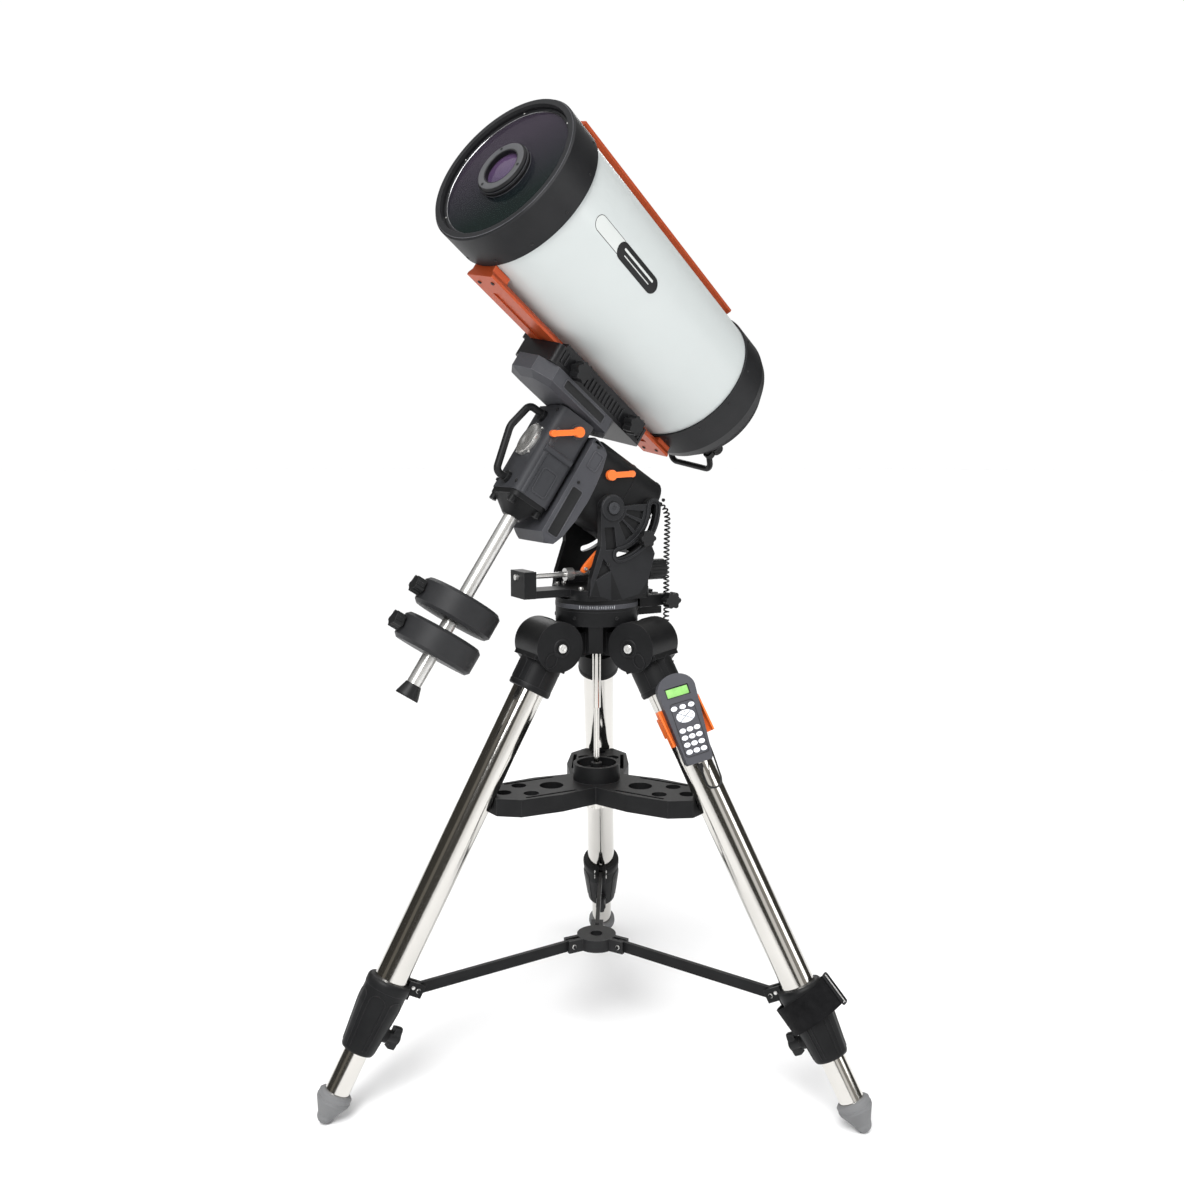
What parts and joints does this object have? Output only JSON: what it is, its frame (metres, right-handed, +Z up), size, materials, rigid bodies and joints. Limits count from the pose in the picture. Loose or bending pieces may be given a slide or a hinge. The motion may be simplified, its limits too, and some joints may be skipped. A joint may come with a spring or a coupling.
{
  "type": "astrograph telescope on an equatorial mount",
  "caption": "Front-focus Schmidt astrograph in a white tube, clamped on a German equatorial mount with a counterweight bar, on a steel tripod with tray and hand controller.",
  "frame": {"origin": "on the floor under the azimuth axis, midway between the three feet", "axes": "+Z up along the azimuth axis; the polar axis rises towards -X; one foot stands on -X and the other two at 60 degrees either side of +X"},
  "size_m": [1.0975, 1.13, 2.0321],
  "materials": {
    "white_enamel": "satin white enamel",
    "black_casting": "fine textured black paint",
    "grey_casting": "textured dark grey paint",
    "black_anodised": "black anodised",
    "orange_anodised": "orange anodised",
    "orange_lever": "orange paint",
    "optical_glass": "coated",
    "mirror": "polished",
    "polished_steel": "polished stainless",
    "brushed_steel": "brushed",
    "brass": "turned",
    "iron": "black powder coat",
    "black_plastic": "moulded, fine texture",
    "grey_plastic": "moulded dark grey",
    "orange_plastic": "moulded orange",
    "keys": "silicone",
    "cord": "satin",
    "webbing": "woven band",
    "motor": "black"
  },
  "bodies": {
    "tripod": {"tripod_head": "black_casting", "leg_crowns": "black_casting", "leg_tubes": "polished_steel", "leg_collars": "black_casting", "brace_arms": "black_casting", "brace_hub": "black_plastic", "centre_rod": "polished_steel", "accessory_tray": "black_plastic", "handset_holder": "orange_plastic", "handset_body": "grey_plastic", "strap": "webbing"},
    "azimuth_fork": {"fork": "black_casting", "hand_cord": "cord"},
    "azimuth_knob_near": {"az_knob_near": "black_plastic"},
    "azimuth_knob_far": {"az_knob_far": "black_plastic"},
    "altitude_screw": {"alt_adjuster": "brushed_steel"},
    "polar_unit": {"ra_housing": "black_casting", "ra_cover": "grey_casting", "ra_motor": "motor"},
    "polar_worm": {"ra_worm": "brass"},
    "polar_lever": {"ra_lever": "orange_lever"},
    "altitude_clamp": {"alt_clamp": "black_plastic"},
    "dec_unit": {"dec_housing": "grey_casting", "dec_bell": "black_casting", "carry_handle": "black_plastic", "counterweight_bar": "brushed_steel", "bar_end_stop": "black_plastic", "ra_axle": "brushed_steel"},
    "dec_worm": {"dec_worm": "brass"},
    "dec_lever": {"dec_lever": "orange_lever"},
    "weight_upper": {"weight_upper": "iron"},
    "weight_lower": {"weight_lower": "iron"},
    "weight_knob_upper": {"weight_knob_upper": "black_plastic"},
    "weight_knob_lower": {"weight_knob_lower": "black_plastic"},
    "optical_tube": {"ota_tube": "white_enamel", "front_ring": "grey_casting", "corrector_plate": "optical_glass", "lens_barrel": "black_anodised", "lens_front": "optical_glass", "rear_cell": "grey_casting", "baffle_tube": "black_anodised", "rear_handle": "black_plastic", "dovetail_rail": "orange_anodised", "accessory_rail": "orange_anodised", "saddle": "black_anodised", "dec_axle": "brushed_steel", "dec_cover": "grey_casting", "dec_motor": "motor"},
    "mirror": {"primary_mirror": "mirror"},
    "focus_knob": {"focus_knob": "black_plastic"},
    "saddle_jaw": {"saddle_jaw": "black_anodised"},
    "saddle_knob_front": {"saddle_knob_front": "black_plastic"},
    "saddle_knob_rear": {"saddle_knob_rear": "black_plastic"},
    "keypad": {"keypad": "keys"},
    "leg_a": {"lower_leg_a": "brushed_steel"},
    "leg_knob_a": {"leg_knob_a": "black_plastic"},
    "leg_b": {"lower_leg_b": "brushed_steel"},
    "leg_knob_b": {"leg_knob_b": "black_plastic"},
    "leg_c": {"lower_leg_c": "brushed_steel"},
    "leg_knob_c": {"leg_knob_c": "black_plastic"}
  },
  "joints": [
    {"name": "azimuth_turn", "type": "hinge", "parent": "tripod", "child": "azimuth_fork", "pos_m": [0, 0, 1.024], "axis": [0, 0, 1], "range_deg": [-3, 3], "deforming": ["hand_cord"]},
    {"name": "altitude_tilt", "type": "hinge", "parent": "azimuth_fork", "child": "polar_unit", "pos_m": [-0.01, 0, 1.245], "axis": [0, 1, 0], "range_deg": [-6, 30], "deforming": ["hand_cord"]},
    {"name": "polar_turn", "type": "hinge", "parent": "polar_unit", "child": "dec_unit", "pos_m": [-0.11652, 0, 1.35896], "axis": [-0.8348, 0, 0.5505], "range_deg": [-90, 90]},
    {"name": "dec_turn", "type": "hinge", "parent": "dec_unit", "child": "optical_tube", "pos_m": [-0.11652, 0, 1.35896], "axis": [0.5505, 0, 0.8348], "range_deg": [-110, 110]},
    {"name": "upper_weight_slide", "type": "slide", "parent": "dec_unit", "child": "weight_upper", "axis": [-0.5505, 0, -0.8348], "range_m": [-0.06, 0.008]},
    {"name": "lower_weight_slide", "type": "slide", "parent": "dec_unit", "child": "weight_lower", "axis": [-0.5505, 0, -0.8348], "range_m": [-0.008, 0.06]},
    {"name": "upper_weight_knob_turn", "type": "hinge", "parent": "weight_upper", "child": "weight_knob_upper", "pos_m": [-0.32626, 0, 1.04088], "axis": [-0.8348, 0, 0.5505], "range_deg": [-90, 180]},
    {"name": "lower_weight_knob_turn", "type": "hinge", "parent": "weight_lower", "child": "weight_knob_lower", "pos_m": [-0.37084, 0, 0.97326], "axis": [-0.8348, 0, 0.5505], "range_deg": [-90, 180]},
    {"name": "dec_lever_turn", "type": "hinge", "parent": "dec_unit", "child": "dec_lever", "pos_m": [-0.08069, 0, 1.40241], "axis": [0, -1, 0], "range_deg": [-50, 0]},
    {"name": "polar_lever_turn", "type": "hinge", "parent": "polar_unit", "child": "polar_lever", "pos_m": [-0.00535, 0, 1.3132], "axis": [0, 1, 0], "range_deg": [-60, 0]},
    {"name": "dec_worm_turn", "type": "hinge", "parent": "optical_tube", "child": "dec_worm", "pos_m": [-0.08877, -0.01298, 1.47362], "axis": [0.258, -0.9511, -0.1701], "continuous": true},
    {"name": "polar_worm_turn", "type": "hinge", "parent": "polar_unit", "child": "polar_worm", "pos_m": [-0.03682, 0, 1.22914], "axis": [0, 1, 0], "continuous": true},
    {"name": "altitude_clamp_turn", "type": "hinge", "parent": "polar_unit", "child": "altitude_clamp", "pos_m": [0.06547, 0, 1.17939], "axis": [0, 1, 0], "range_deg": [-180, 90]},
    {"name": "altitude_screw_turn", "type": "hinge", "parent": "azimuth_fork", "child": "altitude_screw", "pos_m": [0, 0, 1.1], "axis": [1, 0, 0], "continuous": true},
    {"name": "azimuth_knob_near_turn", "type": "hinge", "parent": "azimuth_fork", "child": "azimuth_knob_near", "pos_m": [0.148, 0, 1.038], "axis": [0, 1, 0], "continuous": true},
    {"name": "azimuth_knob_far_turn", "type": "hinge", "parent": "azimuth_fork", "child": "azimuth_knob_far", "pos_m": [0.148, 0, 1.038], "axis": [0, 1, 0], "continuous": true},
    {"name": "saddle_jaw_slide", "type": "slide", "parent": "optical_tube", "child": "saddle_jaw", "axis": [0.258, -0.9511, -0.1701], "range_m": [0, 0.008]},
    {"name": "saddle_knob_front_turn", "type": "hinge", "parent": "saddle_jaw", "child": "saddle_knob_front", "pos_m": [-0.11335, -0.0309, 1.53654], "axis": [0.258, -0.9511, -0.1701], "range_deg": [-180, 360]},
    {"name": "saddle_knob_rear_turn", "type": "hinge", "parent": "saddle_jaw", "child": "saddle_knob_rear", "pos_m": [0.04545, 0.0309, 1.43183], "axis": [0.258, -0.9511, -0.1701], "range_deg": [-180, 360]},
    {"name": "focus_turn", "type": "hinge", "parent": "optical_tube", "child": "focus_knob", "pos_m": [0.04497, -0.04945, 1.57469], "axis": [-0.794, -0.309, 0.5235], "range_deg": [-720, 720]},
    {"name": "mirror_focus", "type": "slide", "parent": "optical_tube", "child": "mirror", "axis": [-0.794, -0.309, 0.5235], "range_m": [-0.002, 0.002]},
    {"name": "leg_a_slide", "type": "slide", "parent": "tripod", "child": "leg_a", "axis": [-0.4848, 0, -0.8746], "range_m": [-0.08, 0.38]},
    {"name": "leg_a_knob_turn", "type": "hinge", "parent": "tripod", "child": "leg_knob_a", "pos_m": [-0.54061, 0, 0.1793], "axis": [-0.8746, 0, 0.4848], "range_deg": [-90, 180]},
    {"name": "leg_b_slide", "type": "slide", "parent": "tripod", "child": "leg_b", "axis": [0.2424, -0.4199, -0.8746], "range_m": [-0.08, 0.38]},
    {"name": "leg_b_knob_turn", "type": "hinge", "parent": "tripod", "child": "leg_knob_b", "pos_m": [0.27031, -0.46819, 0.1793], "axis": [0.4373, -0.7574, 0.4848], "range_deg": [-90, 180]},
    {"name": "leg_c_slide", "type": "slide", "parent": "tripod", "child": "leg_c", "axis": [0.2424, 0.4199, -0.8746], "range_m": [-0.08, 0.38]},
    {"name": "leg_c_knob_turn", "type": "hinge", "parent": "tripod", "child": "leg_knob_c", "pos_m": [0.27031, 0.46819, 0.1793], "axis": [0.4373, 0.7574, 0.4848], "range_deg": [-90, 180]},
    {"name": "keypad_press", "type": "slide", "parent": "tripod", "child": "keypad", "axis": [0.3031, 0.8891, -0.3428], "range_m": [0, 0.0008], "stiffness_N_per_m": 900}
  ],
  "couplings": [
    {"joint": "focus_turn", "follows": "mirror_focus", "rad_per_m": 6283.2}
  ]
}
